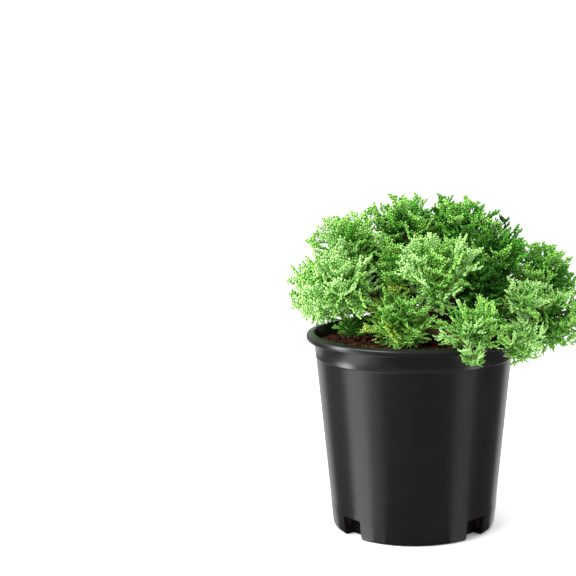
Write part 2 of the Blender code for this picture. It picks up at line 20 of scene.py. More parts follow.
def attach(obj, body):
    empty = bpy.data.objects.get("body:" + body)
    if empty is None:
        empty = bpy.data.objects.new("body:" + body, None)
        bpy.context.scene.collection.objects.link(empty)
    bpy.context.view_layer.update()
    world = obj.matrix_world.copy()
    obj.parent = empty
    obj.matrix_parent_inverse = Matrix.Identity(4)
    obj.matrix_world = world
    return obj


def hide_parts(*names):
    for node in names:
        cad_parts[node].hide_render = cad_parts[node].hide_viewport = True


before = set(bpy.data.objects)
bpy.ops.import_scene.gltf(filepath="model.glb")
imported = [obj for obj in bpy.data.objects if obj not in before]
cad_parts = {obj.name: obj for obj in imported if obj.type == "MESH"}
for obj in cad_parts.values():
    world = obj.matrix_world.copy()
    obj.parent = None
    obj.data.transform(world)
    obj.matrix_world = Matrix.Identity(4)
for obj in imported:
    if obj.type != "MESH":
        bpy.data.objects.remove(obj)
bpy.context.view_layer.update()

LOG = logging.getLogger("juniper")
MM = 0.001
UP = Vector((0.0, 0.0, 1.0))
ALONG = Vector((1.0, 0.0, 0.0))
GOLDEN_ANGLE = math.pi * (3.0 - math.sqrt(5.0))
SEED = 20
MeshArrays = tuple[np.ndarray, np.ndarray]


# Colour and nodes


def linear(code: str) -> tuple[float, ...]:
    """Linear colour of an sRGB hex value.

    Args:
        code: the colour as #RRGGBB.

    Returns:
        Red, green, blue and an alpha of 1.
    """
    parts = [int(code[i : i + 2], 16) / 255 for i in (1, 3, 5)]
    flat = [p / 12.92 if p <= 0.04045 else ((p + 0.055) / 1.055) ** 2.4 for p in parts]
    return (*flat, 1.0)


def add_node(
    tree: bpy.types.NodeTree,
    kind: str,
    inputs: dict | None = None,
    links: dict | None = None,
    **settings: object,
) -> bpy.types.Node:
    """Adds a node with its settings and links.

    Args:
        tree: the node tree.
        kind: the node's type.
        inputs: input name or index to value.
        links: input name or index to the socket that feeds it.
        settings: the node's own properties.

    Returns:
        The node.
    """
    node = tree.nodes.new(kind)
    for name, value in settings.items():
        setattr(node, name, value)
    for name, value in (inputs or {}).items():
        node.inputs[name].default_value = value
    for name, socket in (links or {}).items():
        tree.links.new(socket, node.inputs[name])
    return node


def new_material(
    name: str, roughness: float, ior: float
) -> tuple[bpy.types.Material, bpy.types.NodeTree, bpy.types.Node]:
    """Material with its Principled shader set for something that isn't metal.

    Args:
        name: the material's name.
        roughness: the surface's roughness.
        ior: the index of refraction.

    Returns:
        The material, its node tree and its shader.
    """
    material = bpy.data.materials.new(name)
    material.use_nodes = True
    tree = material.node_tree
    shader = tree.nodes["Principled BSDF"]
    shader.inputs["Roughness"].default_value = roughness
    shader.inputs["IOR"].default_value = ior
    shader.inputs["Metallic"].default_value = 0.0
    return material, tree, shader


def blended(
    tree: bpy.types.NodeTree,
    factor: bpy.types.NodeSocket,
    first: str | bpy.types.NodeSocket,
    second: str | bpy.types.NodeSocket,
) -> bpy.types.NodeSocket:
    """Colour that goes from the first to the second by the factor; a colour is a hex value or a socket.

    Args:
        tree: the node tree.
        factor: the socket that tells how much of the second there is.
        first: the first colour.
        second: the second colour.

    Returns:
        The blended colour's socket.
    """
    inputs, links = {}, {0: factor}
    for index, colour in ((6, first), (7, second)):
        if isinstance(colour, str):
            inputs[index] = linear(colour)
        else:
            links[index] = colour
    return add_node(tree, "ShaderNodeMix", inputs, links, data_type="RGBA").outputs[2]


def speckle(
    tree: bpy.types.NodeTree, size: float, detail: float, low: float, high: float
) -> bpy.types.NodeSocket:
    """Noise with patches of a real size, stretched so that it fills the range from 0 to 1.

    Args:
        tree: the node tree.
        size: the patches' size in metres.
        detail: how many finer layers it has.
        low: the noise value that becomes 0.
        high: the noise value that becomes 1.

    Returns:
        The value's socket.
    """
    place = add_node(tree, "ShaderNodeTexCoord").outputs["Object"]
    pattern = add_node(
        tree,
        "ShaderNodeTexNoise",
        {"Scale": 1.0 / size, "Detail": detail},
        {"Vector": place},
    )
    spread = {"From Min": low, "From Max": high}
    return add_node(tree, "ShaderNodeMapRange", spread, {"Value": pattern.outputs["Fac"]}).outputs["Result"]


def add_bump(
    tree: bpy.types.NodeTree,
    shader: bpy.types.Node,
    height: bpy.types.NodeSocket,
    depth: float,
    strength: float,
) -> None:
    """Adds bump to a shader.

    Args:
        tree: the node tree.
        shader: the Principled shader.
        height: the height's socket.
        depth: the relief's depth in metres.
        strength: how much of it shows.
    """
    bump = add_node(tree, "ShaderNodeBump", {"Distance": depth, "Strength": strength}, {"Height": height})
    tree.links.new(bump.outputs["Normal"], shader.inputs["Normal"])


class Tint(Enum):
    """Colour of a spray of needles: its shaded base and its lit tip."""

    MINT = ("#69B840", "#C6F29A")
    FRESH = ("#4E9B28", "#AEE874")
    GOLD = ("#68A226", "#CAE868")
    MID = ("#378219", "#9EE066")
    DEEP = ("#1E580B", "#6CBE40")
    SHADE = ("#0C2606", "#387A1C")

    @property
    def label(self) -> str:
        """The tint's name in lower case."""
        return self.name.lower()

    @property
    def darker(self) -> "Tint":
        """The tint one step darker, painted as shade deeper in a mass."""
        steps = {Tint.MINT: Tint.FRESH, Tint.FRESH: Tint.MID, Tint.GOLD: Tint.MID, Tint.MID: Tint.DEEP}
        return steps.get(self, Tint.SHADE)


@dataclass(frozen=True)
class JuniperNeedles:
    """Waxy scale needles of one tint: matt, and paler towards each shoot's tip, for the young growth there and as
    painted light, with painted shade towards the spray's base.
    """

    tint: Tint
    roughness: float = 0.5
    wax_ior: float = 1.42
    gloss: float = 0.25
    shoot_patch: float = 7 * MM
    spray_patch: float = 26 * MM
    patch_strength: float = 0.45

    def build(self) -> bpy.types.Material:
        """Makes the material."""
        base, tip = self.tint.value
        material, tree, shader = new_material(f"needles_{self.tint.label}", self.roughness, self.wax_ior)
        shader.inputs["Specular IOR Level"].default_value = self.gloss
        # painted shade and light: each shoot is darker at its base deep in the spray and paler at its tip, which
        # also follows the young growth
        age = add_node(tree, "ShaderNodeAttribute", attribute_name="growth_and_shade").outputs["Fac"]
        green = blended(tree, age, base, tip)
        # shoots differ a little from each other, and sprays differ a little over a hand's breadth
        fine = speckle(tree, self.shoot_patch, 1.0, 0.3, 0.75)
        broad = speckle(tree, self.spray_patch, 2.0, 0.35, 0.7)
        both = add_node(tree, "ShaderNodeMath", {}, {0: fine, 1: broad}, operation="MULTIPLY").outputs[0]
        share = {1: self.patch_strength}
        weak = add_node(tree, "ShaderNodeMath", share, {0: both}, operation="MULTIPLY").outputs[0]
        tree.links.new(blended(tree, weak, green, tip), shader.inputs["Base Color"])
        return material


@dataclass(frozen=True)
class JuniperBark:
    """Thin bark of young wood: reddish brown, with grey flakes that lift along the limb."""

    name: str
    ridge: str
    furrow: str
    flake: float = 3 * MM
    roughness: float = 0.88

    def build(self) -> bpy.types.Material:
        """Makes the material."""
        material, tree, shader = new_material(self.name, self.roughness, 1.45)
        flakes = speckle(tree, self.flake, 4.0, 0.32, 0.68)
        tree.links.new(blended(tree, flakes, self.furrow, self.ridge), shader.inputs["Base Color"])
        add_bump(tree, shader, flakes, 0.4 * MM, 0.8)
        return material


@dataclass(frozen=True)
class BlowMouldedPolyethylene:
    """Black polyethylene from a blow mould: satin, with a faint orange peel and a little dust."""

    black: str = "#101011"
    dusty: str = "#151515"
    roughness: float = 0.27
    gloss: float = 0.34
    ior: float = 1.51
    peel: float = 1.6 * MM
    dust: float = 18 * MM

    def build(self) -> bpy.types.Material:
        """Makes the material."""
        material, tree, shader = new_material("black_polyethylene", self.roughness, self.ior)
        shader.inputs["Specular IOR Level"].default_value = self.gloss
        dust = speckle(tree, self.dust, 5.0, 0.45, 0.8)
        tree.links.new(blended(tree, dust, self.black, self.dusty), shader.inputs["Base Color"])
        add_bump(tree, shader, speckle(tree, self.peel, 2.0, 0.3, 0.7), 0.03 * MM, 0.5)
        return material


@dataclass(frozen=True)
class ShreddedBark:
    """Moist shredded bark: rough, dark between the fibres and redder where it has dried."""

    name: str
    wet: str
    dry: str
    fibre: float = 2.4 * MM

    def build(self) -> bpy.types.Material:
        """Makes the material."""
        material, tree, shader = new_material(self.name, 0.93, 1.4)
        fibres = speckle(tree, self.fibre, 5.0, 0.34, 0.68)
        tree.links.new(blended(tree, fibres, self.wet, self.dry), shader.inputs["Base Color"])
        add_bump(tree, shader, fibres, 0.6 * MM, 0.9)
        return material


# Meshes


def mesh_from_arrays(
    name: str, verts: np.ndarray, tris: np.ndarray, growth_and_shade: np.ndarray | None = None
) -> bpy.types.Mesh:
    """Smooth mesh from arrays of corners and triangles.

    Args:
        name: the mesh's name.
        verts: the corners, one row each.
        tris: three corner numbers in each row.
        growth_and_shade: a value from 0 to 1 for each corner, for young growth and painted shade, or None.

    Returns:
        The mesh.
    """
    mesh = bpy.data.meshes.new(name)
    mesh.vertices.add(len(verts))
    mesh.vertices.foreach_set("co", verts.astype(np.float32).ravel())
    mesh.loops.add(3 * len(tris))
    mesh.loops.foreach_set("vertex_index", tris.astype(np.int32).ravel())
    mesh.polygons.add(len(tris))
    mesh.polygons.foreach_set("loop_start", np.arange(0, 3 * len(tris), 3, dtype=np.int32))
    mesh.update(calc_edges=True)
    if growth_and_shade is not None:
        layer = mesh.attributes.new("growth_and_shade", "FLOAT", "POINT")
        layer.data.foreach_set("value", growth_and_shade.astype(np.float32))
    mesh.shade_smooth()
    return mesh


def place(
    name: str, mesh: bpy.types.Mesh, material: bpy.types.Material, slot: str, *nodes: str
) -> bpy.types.Object:
    """Puts a mesh on the object's body.

    Args:
        name: the piece's name.
        mesh: its mesh, in the row's frame.
        material: what it is made of.
        slot: the record's material slot; not used.
        nodes: the solids that it stands for.

    Returns:
        The piece.
    """
    piece = bpy.data.objects.new(name, mesh)
    bpy.context.scene.collection.objects.link(piece)
    mesh.materials.clear()
    mesh.materials.append(material)
    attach(piece, "root")
    if nodes:
        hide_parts(*nodes)
    LOG.info("%s: %d faces, for %s", name, len(mesh.polygons), ", ".join(nodes) or "no solid")
    return piece


def ring_tube(rings: np.ndarray) -> MeshArrays:
    """Closed tube over rings of points.

    Args:
        rings: points, as rings by sides by 3.

    Returns:
        The corners and the triangles.
    """
    count, sides, _ = rings.shape
    verts = np.concatenate([rings.reshape(-1, 3), rings[0].mean(0)[None], rings[-1].mean(0)[None]])
    tris = []
    for row in range(count - 1):
        for side in range(sides):
            a, b = row * sides + side, row * sides + (side + 1) % sides
            c, d = a + sides, b + sides
            tris += [(a, b, d), (a, d, c)]
    foot, head = count * sides, count * sides + 1
    last = (count - 1) * sides
    for side in range(sides):
        after = (side + 1) % sides
        tris += [(foot, after, side), (head, last + side, last + after)]
    return verts, np.array(tris)


def swept(
    points: list[Vector], radii: list[float], sides: int, relief: float, grain: float
) -> MeshArrays:
    """Round limb through the points, with ridges along it.

    Args:
        points: the axis.
        radii: a radius for each point.
        sides: how many corners each ring has.
        relief: the ridges' height as a share of the radius.
        grain: the distance between ridges in metres.

    Returns:
        The corners and the triangles.
    """
    rings = []
    across = Vector((1.0, 0.0, 0.0))
    for index, (point, radius) in enumerate(zip(points, radii)):
        ahead = points[min(index + 1, len(points) - 1)] - points[max(index - 1, 0)]
        ahead.normalize()
        across = (across - ahead * across.dot(ahead)).normalized()
        up = ahead.cross(across)
        ring = []
        for side in range(sides):
            turn = 2 * math.pi * side / sides
            out = across * math.cos(turn) + up * math.sin(turn)
            spot = point + out * radius
            # ridges run along the limb, so the pattern is stretched that way
            stretched = (spot - ahead * spot.dot(ahead) * 0.75) / grain
            ring.append(point + out * radius * (1 + relief * noise.noise(stretched)))
        rings.append(ring)
    return ring_tube(np.array([[tuple(v) for v in ring] for ring in rings]))


def joined(parts: list[MeshArrays]) -> MeshArrays:
    """Joins meshes given as corners and triangles.

    Args:
        parts: pairs of corners and triangles.

    Returns:
        All corners and all triangles.
    """
    offsets = np.cumsum([0] + [len(verts) for verts, _ in parts[:-1]])
    verts = np.concatenate([verts for verts, _ in parts])
    tris = np.concatenate([tris + offset for (_, tris), offset in zip(parts, offsets)])
    return verts, tris


def curved(start: Vector, leaving: Vector, arriving: Vector, end: Vector, rows: int) -> list[Vector]:
    """Points of a smooth curve with the directions it leaves and arrives in.

    Args:
        start: where it starts.
        leaving: the way it leaves.
        arriving: the way it arrives.
        end: where it ends.
        rows: how many points it has.

    Returns:
        The points.
    """
    pull = (end - start).length / 3
    first, second = start + leaving * pull, end - arriving * pull
    points = []
    for row in range(rows):
        t = row / (rows - 1)
        u = 1 - t
        points.append(u**3 * start + 3 * u * u * t * first + 3 * u * t * t * second + t**3 * end)
    return points


# Pot and mix


@dataclass(frozen=True)
class NurseryPot:
    """Turned pot with a rolled lip, two faint rings and four drained notches at its foot."""

    height: float = 241 * MM
    foot_radius: float = 100.3 * MM
    taper: float = 0.0932
    wall: float = 1.6 * MM
    floor: float = 2.0 * MM
    corner: float = 5.0 * MM
    lip_radius: float = 131.5 * MM
    lip_depth: float = 8.8 * MM
    lip_round: float = 2.4 * MM
    upper_ring: float = 212 * MM
    lower_ring: float = 31 * MM
    ring_step: float = 0.5 * MM
    notch_azimuths: tuple[float, ...] = (47.0, 133.0, 227.0, 313.0)
    notch_width: float = 30 * MM
    notch_height: float = 24.5 * MM
    notch_depth: float = 15 * MM
    slot_height: float = 14 * MM
    slot_depth: float = 8 * MM
    slot_rise: float = 6 * MM
    hole_radius: float = 2.6 * MM
    hole_height: float = 19.5 * MM
    segments: int = 144
    arc_rows: int = 6

    def radius(self, z: float) -> float:
        """Outer radius of the wall at a height."""
        return self.foot_radius + self.taper * z

    def outside(self) -> list[tuple[float, float]]:
        """Profile of the outside, from the axis over the lip down to the axis."""
        low, bend = self.height - self.lip_depth, self.lip_round
        profile = [(0.0, self.height), (self.lip_radius - 2.6 * bend, self.height)]
        for row in range(self.arc_rows + 1):
            turn = math.pi / 2 * row / self.arc_rows
            across, drop = 2.0 * bend * (1 - math.sin(turn)), 1.6 * bend * (1 - math.cos(turn))
            profile.append((self.lip_radius - across, self.height - drop))
        for row in range(self.arc_rows + 1):
            turn = math.pi / 2 * row / self.arc_rows
            across = 0.7 * bend * (1 - math.cos(turn))
            profile.append((self.lip_radius - across, low + 0.7 * bend * (1 - math.sin(turn))))
        step = self.ring_step
        ring, below = self.upper_ring, self.lower_ring
        profile += [
            (self.radius(low) + 2 * step, low),
            (self.radius(low - 2 * step) + step, low - 2 * step),
            (self.radius(ring) + step, ring + 3 * step),
            (self.radius(ring) + 1.6 * step, ring + 1.6 * step),
            (self.radius(ring) + 1.5 * step, ring + 0.4 * step),
            (self.radius(ring) + 0.2 * step, ring - step),
            (self.radius(ring), ring - 2 * step),
            (self.radius(below), below + 4 * step),
            (self.radius(below) - 0.3 * step, below),
            (self.radius(below), below - 4 * step),
        ]
        radius = self.radius(self.corner)
        for row in range(self.arc_rows + 1):
            turn = math.pi / 2 * row / self.arc_rows
            across, rise = self.corner * (1 - math.cos(turn)), self.corner * (1 - math.sin(turn))
            profile.append((radius - across, rise))
        return [*profile, (0.0, 0.0)]

    def inside(self) -> list[tuple[float, float]]:
        """Profile of the hollow, from above the pot down to its floor."""
        above = self.height + self.corner
        crest = self.radius(self.height) - 0.6 * MM
        foot = self.radius(self.corner) - self.wall
        return [
            (0.0, above),
            (crest, above),
            (crest, self.height - 0.2 * MM),
            (self.radius(self.height) - self.wall, self.height - 2.0 * MM),
            (foot, self.corner),
            (foot - 2.0 * MM, self.floor),
            (0.0, self.floor),
        ]

    def turned(self, name: str, profile: list[tuple[float, float]]) -> bpy.types.Object:
        """Solid turned about Z from a profile.

        Args:
            name: the object's name.
            profile: pairs of radius and height, from axis to axis.

        Returns:
            The object.
        """
        bm = bmesh.new()
        corners = [bm.verts.new((radius, 0.0, z)) for radius, z in profile]
        edges = [bm.edges.new(pair) for pair in zip(corners, corners[1:])]
        bmesh.ops.spin(
            bm,
            geom=corners + edges,
            axis=UP,
            cent=(0.0, 0.0, 0.0),
            steps=self.segments,
            angle=2 * math.pi,
        )
        bmesh.ops.remove_doubles(bm, verts=bm.verts, dist=0.01 * MM)
        bmesh.ops.recalc_face_normals(bm, faces=bm.faces)
        return self.loose(name, bm)

    @staticmethod
    def loose(name: str, bm: bmesh.types.BMesh) -> bpy.types.Object:
        """Object made of a bmesh, which is freed.

        Args:
            name: the object's name.
            bm: its geometry.

        Returns:
            The object.
        """
        mesh = bpy.data.meshes.new(name)
        bm.to_mesh(mesh)
        bm.free()
        thing = bpy.data.objects.new(name, mesh)
        bpy.context.scene.collection.objects.link(thing)
        return thing

    def block(self, name: str, size: tuple, centre: tuple, azimuth: float) -> bpy.types.Object:
        """Box that is turned about Z.

        Args:
            name: the object's name.
            size: its sides.
            centre: its middle before the turn.
            azimuth: the turn in degrees from -Y towards +X.

        Returns:
            The object.
        """
        bm = bmesh.new()
        turn = Matrix.Rotation(math.radians(azimuth), 4, "Z")
        matrix = turn @ Matrix.Translation(centre) @ Matrix.Diagonal((*size, 1.0))
        bmesh.ops.create_cube(bm, size=1.0, matrix=matrix)
        return self.loose(name, bm)

    def notch(self, name: str, room: float, azimuth: float) -> bpy.types.Object:
        """Block of one notch with some room on every side.

        Args:
            name: the object's name.
            room: the room in metres.
            azimuth: where the notch is, in degrees.

        Returns:
            The block, with rounded upper edges.
        """
        inner = self.radius(0.0) - self.notch_depth - room
        outer = self.radius(self.notch_height) + self.wall + room
        top = self.notch_height + room
        size = (self.notch_width + 2 * room, outer - inner, top + self.corner)
        block = self.block(name, size, (0.0, -(inner + outer) / 2, (top - self.corner) / 2), azimuth)
        bm = bmesh.new()
        bm.from_mesh(block.data)
        upper = [e for e in bm.edges if all(v.co.z > 0.5 * top for v in e.verts)]
        bmesh.ops.bevel(bm, geom=upper, offset=1.6 * MM, segments=3, profile=0.5, affect="EDGES")
        bm.to_mesh(block.data)
        bm.free()
        return block

    def cut(self, thing: bpy.types.Object, cutter: bpy.types.Object) -> None:
        """Takes the cutter's volume out of the object and drops the cutter."""
        boolean = thing.modifiers.new("cut", "BOOLEAN")
        boolean.operation = "DIFFERENCE"
        boolean.solver = "EXACT"
        boolean.object = cutter
        graph = bpy.context.evaluated_depsgraph_get()
        mesh = bpy.data.meshes.new_from_object(thing.evaluated_get(graph))
        thing.modifiers.clear()
        thing.data = mesh
        bpy.data.objects.remove(cutter)

    def build(self) -> None:
        """Builds and dresses the pot."""
        shell = self.turned("pot_shell", self.outside())
        hollow = self.turned("pot_hollow", self.inside())
        for azimuth in self.notch_azimuths:
            self.cut(hollow, self.notch("housing", self.wall, azimuth))
            self.cut(shell, self.notch("notch", 0.0, azimuth))
        self.cut(shell, hollow)
        back = self.radius(0.0) - self.notch_depth
        for azimuth in self.notch_azimuths:
            size = (self.notch_width + 6 * self.wall, self.slot_depth, self.slot_height)
            centre = (0.0, -(back + self.slot_depth / 2 + self.wall), self.slot_rise + self.slot_height / 2)
            self.cut(shell, self.block("slot", size, centre, azimuth))
            bm = bmesh.new()
            turn = Matrix.Rotation(math.radians(azimuth), 4, "Z")
            along = Matrix.Translation((0.0, -back, self.hole_height)) @ Matrix.Rotation(math.pi / 2, 4, "X")
            radii = {"radius1": self.hole_radius, "radius2": self.hole_radius}
            bmesh.ops.create_cone(
                bm, cap_ends=True, segments=24, depth=6 * self.wall, matrix=turn @ along, **radii
            )
            self.cut(shell, self.loose("hole", bm))
        mesh = shell.data
        bpy.data.objects.remove(shell)
        mesh.shade_smooth()
        mesh.set_sharp_from_angle(angle=math.radians(32))
        place("nursery_pot", mesh, BlowMouldedPolyethylene().build(), "black_pot_plastic", "pot")


@dataclass(frozen=True)
class PottingMix:
    """Bark mix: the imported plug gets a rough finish, and loose chips lie on it."""

    edge_height: float = 226 * MM
    dome: float = 2.4 * MM
    edge_radius: float = 119 * MM
    chip_count: int = 3400
    chip_long: tuple[float, float] = (3.5 * MM, 11 * MM)
    chip_wide: tuple[float, float] = (1.6 * MM, 4.5 * MM)
    chip_thick: tuple[float, float] = (0.7 * MM, 1.8 * MM)

    def top(self, radius: float) -> float:
        """Height of the domed surface at a distance from the axis."""
        return self.edge_height + self.dome * (1.0 - (radius / self.edge_radius) ** 2)

    def chip(self, rng: random.Random) -> MeshArrays:
        """One split chip of bark that lies on the surface.

        Args:
            rng: the source of its size, place and turn.

        Returns:
            Its corners and triangles.
        """
        radius = self.edge_radius * math.sqrt(rng.random()) * 0.985
        turn = rng.uniform(0, 2 * math.pi)
        long, wide, thick = (rng.uniform(*span) / 2 for span in (self.chip_long, self.chip_wide, self.chip_thick))
        radius = min(radius, self.edge_radius - long)
        spot = Vector((radius * math.cos(turn), radius * math.sin(turn), self.top(radius)))
        spot.z += rng.uniform(0.2, 2.2) * MM
        tilt = Matrix.Rotation(rng.uniform(0, 2 * math.pi), 3, "Z") @ Matrix.Rotation(rng.gauss(0, 0.4), 3, "Y")
        tilt = tilt @ Matrix.Rotation(rng.gauss(0, 0.35), 3, "X")
        outline = [(-1, -0.6), (-0.3, -1), (0.7, -0.8), (1, 0.3), (0.2, 1), (-0.8, 0.7)]
        ring = []
        for level in (-1, 1):
            for x, y in outline:
                jog = rng.uniform(0.75, 1.1)
                ring.append(spot + tilt @ Vector((x * long * jog, y * wide * jog, level * thick)))
        sides = len(outline)
        tris = []
        for side in range(sides):
            after = (side + 1) % sides
            tris += [(side, after, sides + after), (side, sides + after, sides + side)]
        for side in range(1, sides - 1):
            tris += [(0, side + 1, side), (sides, sides + side, sides + side + 1)]
        return np.array([tuple(v) for v in ring]), np.array(tris)

    def build(self) -> None:
        """Dresses the plug and lays the chips."""
        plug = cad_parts["potting_mix"]
        plug.data.materials.clear()
        plug.data.materials.append(ShreddedBark("bark_fines", "#0D0704", "#3A2114").build())
        rng = random.Random(SEED)
        kinds = (
            ("bark_chips_red", 0.4, ShreddedBark("red_bark", "#3A1B10", "#8A4E30")),
            ("bark_chips_brown", 0.4, ShreddedBark("brown_bark", "#1E0F08", "#5E3521")),
            ("bark_chips_dark", 0.2, ShreddedBark("dark_bark", "#0E0705", "#33201A")),
        )
        for name, share, finish in kinds:
            chips = [self.chip(rng) for _ in range(int(self.chip_count * share))]
            mesh = mesh_from_arrays(name, *joined(chips))
            mesh.shade_flat()
            place(name, mesh, finish.build(), "bark_mix")


# Spaces of the masses, as in the solids


@dataclass(frozen=True)
class Mass:
    """One mass of foliage: the centre and size of its space in millimetres, and its tints."""

    name: str
    x: float
    y: float
    z: float
    size: float
    tints: tuple[Tint, ...]
    flattening: float = 0.8
    fine: bool = False

    @property
    def centre(self) -> Vector:
        """Middle of the space, in metres."""
        return Vector((self.x, self.y, self.z)) * MM

    @property
    def radii(self) -> Vector:
        """Half widths of the space, in metres."""
        return Vector((self.size, self.size, self.size * self.flattening)) * MM


BRIGHT = (Tint.MINT, Tint.MINT, Tint.MINT, Tint.MINT, Tint.FRESH)
LIVELY = (Tint.FRESH, Tint.MID, Tint.GOLD, Tint.FRESH)
PLAIN = (Tint.MID, Tint.FRESH, Tint.MID)
DARK = (Tint.DEEP, Tint.MID, Tint.DEEP, Tint.SHADE)

MASSES = (
    Mass("crown_left", -12, 28, 359, 60, (Tint.MID, Tint.FRESH, Tint.MID, Tint.DEEP)),
    Mass("crown_right", 55, 26, 360, 61, (Tint.MID, Tint.MID, Tint.DEEP, Tint.FRESH)),
    Mass("left_upper", -75, 5, 344, 58, (Tint.FRESH, Tint.MINT, Tint.FRESH, Tint.MID)),
    Mass("left_lower", -82, -33, 303, 65, BRIGHT, flattening=0.74),
    Mass("left_middle", -27, -23, 316, 47, LIVELY, flattening=0.9),
    Mass("left_sprig", -70, -35, 256, 28, DARK, fine=True),
    Mass("front_upper", 28, -43, 317, 66, BRIGHT),
    Mass("front_low", -16, -57, 270, 53, LIVELY, fine=True),
    Mass("front_drape", 68, -103, 260, 48, (Tint.MINT, Tint.MID, Tint.FRESH), fine=True),
    Mass("front_sprig", 66, -127, 237, 22, (Tint.MINT, Tint.MINT, Tint.FRESH), flattening=1.0, fine=True),
    Mass("right_upper", 99, 7, 329, 55, DARK, flattening=0.95),
    Mass("right_middle", 81, -37, 300, 49, DARK, flattening=0.95),
    Mass("right_tuft", 127, -66, 290, 32, BRIGHT, flattening=0.9),
    Mass("right_drape", 120, -81, 242, 37, (Tint.MINT, Tint.MINT, Tint.FRESH)),
    Mass("right_lower", 157, -23, 267, 64, (Tint.MINT, Tint.FRESH, Tint.MID), flattening=0.72),
    Mass("far_right", 153, 5, 302, 60, PLAIN, flattening=0.82),
    Mass("back_left", -67, 71, 306, 66, PLAIN),
    Mass("back_middle", 18, 85, 318, 68, DARK),
    Mass("back_right", 94, 73, 310, 68, PLAIN),
    Mass("back_low_left", -40, 112, 275, 57, LIVELY),
    Mass("back_low_right", 58, 121, 273, 60, PLAIN),
    Mass("far_back_right", 141, 75, 268, 57, LIVELY),
    Mass("far_left", -110, 38, 290, 55, BRIGHT),
)


class Space:
    """Convex room of one mass: its ellipsoid, cut by a plane between it and each neighbour."""

    def __init__(self, mass: Mass) -> None:
        """Works out the planes.

        Args:
            mass: the mass whose room this is.
        """
        self.radii = mass.radii
        self.planes = []
        for other in MASSES:
            if other is mass:
                continue
            across = other.centre - mass.centre
            distance = across.length
            normal = across / distance
            own = self.support(mass.radii, normal)
            self.planes.append((normal, distance * own / (own + self.support(other.radii, normal))))

    @staticmethod
    def support(radii: Vector, normal: Vector) -> float:
        """How far an ellipsoid reaches from its centre in a direction."""
        return math.sqrt(sum((r * n) ** 2 for r, n in zip(radii, normal)))

    def open_reach(self, direction: Vector) -> float:
        """Distance from the centre to the ellipsoid in a direction."""
        return 1.0 / math.sqrt(sum((d / r) ** 2 for d, r in zip(direction, self.radii)))

    def reach(self, direction: Vector) -> float:
        """Distance from the centre to the room's boundary in a direction."""
        far = self.open_reach(direction)
        for normal, limit in self.planes:
            facing = direction.dot(normal)
            if facing > 1e-6:
                far = min(far, limit / facing)
        return far


# Trunk and boughs


@dataclass(frozen=True)
class Limbs:
    """Short leaning trunk with a bough to each mass."""

    pot: NurseryPot
    mix: PottingMix
    foot_at: Vector
    lean: Vector
    length: float = 40 * MM
    base_radius: float = 8.6 * MM
    tip_radius: float = 6.6 * MM
    flare: float = 4.2 * MM
    flare_share: float = 0.24
    fork_share: float = 0.7
    tiers: int = 4
    tier_base: float = 12.6 * MM
    tier_step: float = 7.9 * MM
    bough_radius: float = 3.1 * MM
    bough_tip: float = 1.9 * MM
    collar: float = 3 * MM
    gap: float = 0.3 * MM
    rim_room: float = 8 * MM
    foot_slope: float = -0.35

    def centre(self, share: float) -> Vector:
        """Point of the trunk's axis at a share of its length."""
        foot = self.foot_at + UP * (self.mix.top(self.foot_at.length) + 1.2 * MM)
        return foot + (self.lean + UP * self.length) * share

    def radius(self, share: float) -> float:
        """Radius of the trunk at a share of its length."""
        flare = self.flare * (1.0 - min(1.0, share / self.flare_share)) ** 2
        return self.base_radius + (self.tip_radius - self.base_radius) * share + flare

    def mass_foot(self, mass: Mass, space: Space) -> tuple[Vector, Vector]:
        """Where a mass's stem starts, and the way it leads into the mass.

        Args:
            mass: the mass.
            space: its room.

        Returns:
            The point and the direction.
        """
        inward = self.centre(self.fork_share) - mass.centre
        flat = math.hypot(inward.x, inward.y)
        over_rim = (self.pot.height + self.rim_room - mass.centre.z) / (mass.size * MM)
        inward.z = flat * max(min(inward.z / flat, self.foot_slope), over_rim)
        inward.normalize()
        return mass.centre + inward * space.reach(inward) * 0.86, -inward

    def starts(self) -> dict[str, tuple[Vector, Vector]]:
        """Start and leaving direction of each mass's bough, in tiers round the trunk."""
        starts = {}
        fork = self.centre(self.fork_share)
        by_steepness = sorted(MASSES, key=lambda mass: (mass.centre - fork).normalized().z)
        per_tier = math.ceil(len(MASSES) / self.tiers)
        for tier in range(self.tiers):
            share = (self.tier_base + self.tier_step * tier) / self.length
            centre = self.centre(share)
            members = by_steepness[tier * per_tier : (tier + 1) * per_tier]
            turns = {m.name: math.atan2(m.centre.y - centre.y, m.centre.x - centre.x) for m in members}
            members.sort(key=lambda mass: turns[mass.name])
            even = 2 * math.pi / len(members)
            shift = sum(turns[m.name] - even * i for i, m in enumerate(members)) / len(members)
            for index, mass in enumerate(members):
                turn = shift + even * index
                out = Vector((math.cos(turn), math.sin(turn), 0.0))
                starts[mass.name] = (centre + out * self.radius(share) * 0.9, out)
        return starts

    def build(self) -> None:
        """Builds and dresses the trunk and the boughs."""
        shares = [(row / 23) ** 1.4 for row in range(24)]
        points = [self.centre(share) for share in shares]
        radii = [self.radius(share) for share in shares]
        bark = JuniperBark("juniper_trunk_bark", "#8A6A50", "#3A2416")
        verts, tris = swept(points, radii, 40, 0.16, 3.2 * MM)
        place("trunk_bark", mesh_from_arrays("trunk_bark", verts, tris), bark.build(), "juniper_bark", "trunk")
        parts = []
        for mass in MASSES:
            spot, out = self.starts()[mass.name]
            foot, lead = self.mass_foot(mass, Space(mass))
            bend = curved(spot + out * self.collar, out, lead, foot - lead * self.collar, 22)
            path = [spot, *bend, foot]
            steps = [row / (len(path) - 1) for row in range(len(path))]
            sizes = [self.bough_radius + (self.bough_tip - self.bough_radius) * step for step in steps]
            parts.append(swept(path, sizes, 10, 0.18, 2.2 * MM))
        wood = JuniperBark("juniper_bough_bark", "#7D5638", "#2E1C10", flake=2 * MM)
        mesh = mesh_from_arrays("boughs", *joined(parts))
        nodes = [f"bough_{mass.name}" for mass in MASSES]
        place("boughs", mesh, wood.build(), "young_juniper_wood", *nodes)


# Foliage


